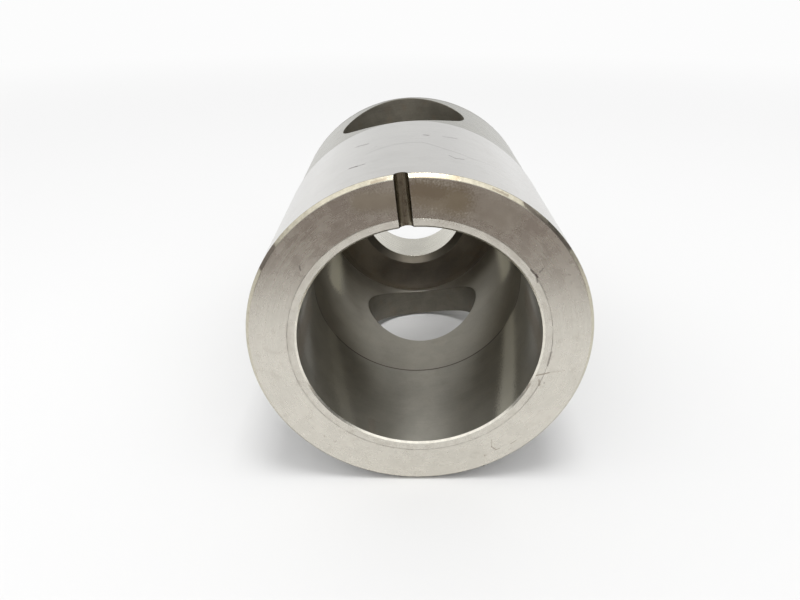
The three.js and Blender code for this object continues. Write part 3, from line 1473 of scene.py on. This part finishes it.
@dataclass
class SleeveBody:
    """The stepped steel sleeve: journal, relieved band, shoulder and rear hub."""

    front: float
    length: float
    outer_radius: float = 28.22
    relief_radius: float = 28.02
    hub_radius: float = 24.0
    relief_start: float = 37.4
    shoulder: float = 66.0
    main_bore_radius: float = 21.5
    end_wall: float = 64.6
    undercut_width: float = 1.6
    undercut_depth: float = 0.8
    shaft_hole_radius: float = 12.0
    lead_in: float = 1.5
    exit_chamfer: float = 0.8
    rim_chamfer: float = 0.6
    hub_chamfer: float = 1.0
    edge_break: float = 0.08
    hole_break: float = 0.16
    groove_break: float = 0.07
    cutter_reach: float = 40.0
    skin: float = 0.05           # how far off its surface a face's middle may be
    segments: int = 256
    hole: CrossHole = field(default_factory=CrossHole)
    groove: OilGroove = field(default_factory=OilGroove)

    def section(self) -> list[Ring]:
        """The sleeve's closed section, from the front of the bore round to its end."""
        step = self.outer_radius - self.relief_radius
        return [
            Ring(self.main_bore_radius, 0.0),
            Ring(self.outer_radius - self.rim_chamfer, 0.0),
            Ring(self.outer_radius, self.rim_chamfer),
            Ring(self.outer_radius, self.relief_start),
            Ring(self.relief_radius, self.relief_start + step),
            Ring(self.relief_radius, self.shoulder - self.rim_chamfer),
            Ring(self.relief_radius - self.rim_chamfer, self.shoulder),
            Ring(self.hub_radius, self.shoulder),
            Ring(self.hub_radius, self.length - self.hub_chamfer),
            Ring(self.hub_radius - self.hub_chamfer, self.length),
            Ring(self.shaft_hole_radius + self.exit_chamfer, self.length),
            Ring(self.shaft_hole_radius, self.length - self.exit_chamfer),
            Ring(self.shaft_hole_radius, self.end_wall + self.lead_in),
            Ring(self.shaft_hole_radius + self.lead_in, self.end_wall),
            Ring(self.main_bore_radius - self.undercut_width, self.end_wall),
            Ring(
                self.main_bore_radius - self.undercut_width,
                self.end_wall + self.undercut_depth,
            ),
            Ring(self.main_bore_radius, self.end_wall + self.undercut_depth),
        ]

    def build(self) -> Piece:
        """Turns the sleeve, cuts its hole and groove and breaks its edges."""
        piece = turned("coupling_sleeve", self.section(), self.front, self.segments)
        soften(piece, self.turned_edge, self.edge_break)
        cut_away(piece, self.hole.cutter(self.front, self.cutter_reach))
        cut_away(piece, self.groove.cutter(self.front))
        soften(piece, self.rim_edge, self.hole_break)
        soften(piece, self.groove_edge, self.groove_break)
        return piece

    def surface_of(self, spot: Spot) -> Surface:
        """Which surface a face belongs to."""
        radius, station, middle, _ = spot
        spread = math.hypot(middle.x, station - self.hole.station)
        inner, outer = self.main_bore_radius + self.skin, self.relief_radius - self.skin
        if spread < self.hole.radius + self.hole.margin and inner < radius < outer:
            return Surface.HOLE
        if self.groove.holds(middle, station):
            return Surface.GROOVE
        if station < self.skin / 2:
            return Surface.FACE
        if radius > self.outer_radius - self.rim_chamfer - self.edge_break:
            for end, surface in (
                (self.rim_chamfer, Surface.RIM),
                (self.relief_start + self.skin, Surface.JOURNAL),
                (self.shoulder - self.skin / 2, Surface.BAND),
            ):
                if station < end:
                    return surface
        if radius > self.main_bore_radius + 2 * self.skin or (
            station > self.length - self.hub_chamfer
        ):
            return Surface.REAR
        if radius > self.main_bore_radius - self.skin or (
            station < self.end_wall - self.skin / 2
        ):
            return Surface.BORE
        return Surface.END if radius > self.shaft_hole_radius + self.skin else Surface.SHAFT

    def turned_edge(self, edge: Edge) -> bool:
        """Whether an edge is a sharp turned one, other than the one at the liner."""
        middle = (edge.verts[0].co + edge.verts[1].co) / 2 / MM
        at_liner = middle.y - self.front < self.skin and (
            math.hypot(middle.x, middle.z) < self.main_bore_radius + self.skin
        )
        return sharp(edge) and not at_liner

    def rim_edge(self, edge: Edge) -> bool:
        """Whether an edge is where the cross hole breaks through a surface."""
        a, b = (vertex.co for vertex in edge.verts)
        on_hole = self.hole.on_wall(a, self.front) and self.hole.on_wall(b, self.front)
        return on_hole and sharp(edge)

    def groove_edge(self, edge: Edge) -> bool:
        """Whether an edge is one of the groove's sharp ones."""
        return sharp(edge) and all(
            abs(abs(v.co.x / MM) - self.groove.width / 2) < SLACK
            and v.co.z > 0
            and v.co.y / MM - self.front < self.groove.depth + self.skin
            for v in edge.verts
        )


@dataclass
class LinerBush:
    """The thin bush pressed into the front bore, flush with the face."""

    front: float
    outer_radius: float = 21.485
    bore_radius: float = 20.0
    length: float = 24.0
    face_dish: float = 0.16
    mouth_chamfer: float = 0.3
    end_chamfer: float = 0.3
    rim_break: float = 0.03
    face_square: float = 0.9     # the face looks forward by more than this
    segments: int = 256
    groove: OilGroove = field(default_factory=OilGroove)
    hole: CrossHole | None = None

    def section(self) -> list[Ring]:
        """The bush's closed section, from its mouth round to its far end."""
        return [
            Ring(self.bore_radius + self.mouth_chamfer, self.face_dish),
            Ring(self.outer_radius - self.rim_break, 0.0),
            Ring(self.outer_radius, self.rim_break),
            Ring(self.outer_radius, self.length - self.end_chamfer),
            Ring(self.outer_radius - self.end_chamfer, self.length),
            Ring(self.bore_radius + self.end_chamfer, self.length),
            Ring(self.bore_radius, self.length - self.end_chamfer),
            Ring(self.bore_radius, self.face_dish + self.mouth_chamfer),
        ]

    def surface_of(self, spot: Spot) -> Surface:
        """Which surface a face belongs to."""
        radius, station, middle, normal = spot
        if self.groove.holds(middle, station):
            return Surface.GROOVE
        if station < self.face_dish and normal.y < -self.face_square:
            return Surface.FACE
        if station < self.face_dish + self.mouth_chamfer:
            inside = radius < self.outer_radius - self.mouth_chamfer
            return Surface.MOUTH if inside else Surface.LINER
        if station > self.length - self.end_chamfer:
            return Surface.END
        return Surface.LINER

    def build(self) -> Piece:
        """Turns the bush and carries the groove across its face."""
        piece = turned("liner_bush_fitted", self.section(), self.front, self.segments)
        cut_away(piece, self.groove.cutter(self.front))
        return piece


def main() -> None:
    """Builds the coupling and its surroundings, and sets the camera."""
    logging.basicConfig(level=logging.INFO, format="%(name)s: %(message)s")
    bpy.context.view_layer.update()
    low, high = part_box("sleeve_body")
    front, length = low.y / MM, (high.y - low.y) / MM
    sleeve, bush = SleeveBody(front, length), LinerBush(front)
    dresser = Dresser(front, steel_finishes(), Effects(front))
    for maker, node, slot in (
        (sleeve, "sleeve_body", "sleeve_steel"),
        (bush, "liner_bush", "liner_steel"),
    ):
        piece = maker.build()
        dresser.dress(piece, maker.surface_of)
        dresser.smooth(piece, maker.hole, front)
        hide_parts(node)
        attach(piece, "root")
        log.info("%s: %d faces", piece.name, len(piece.data.polygons))
    Studio(front, sleeve.outer_radius).build(sleeve.hole.station)


if __name__ == "__main__":
    main()
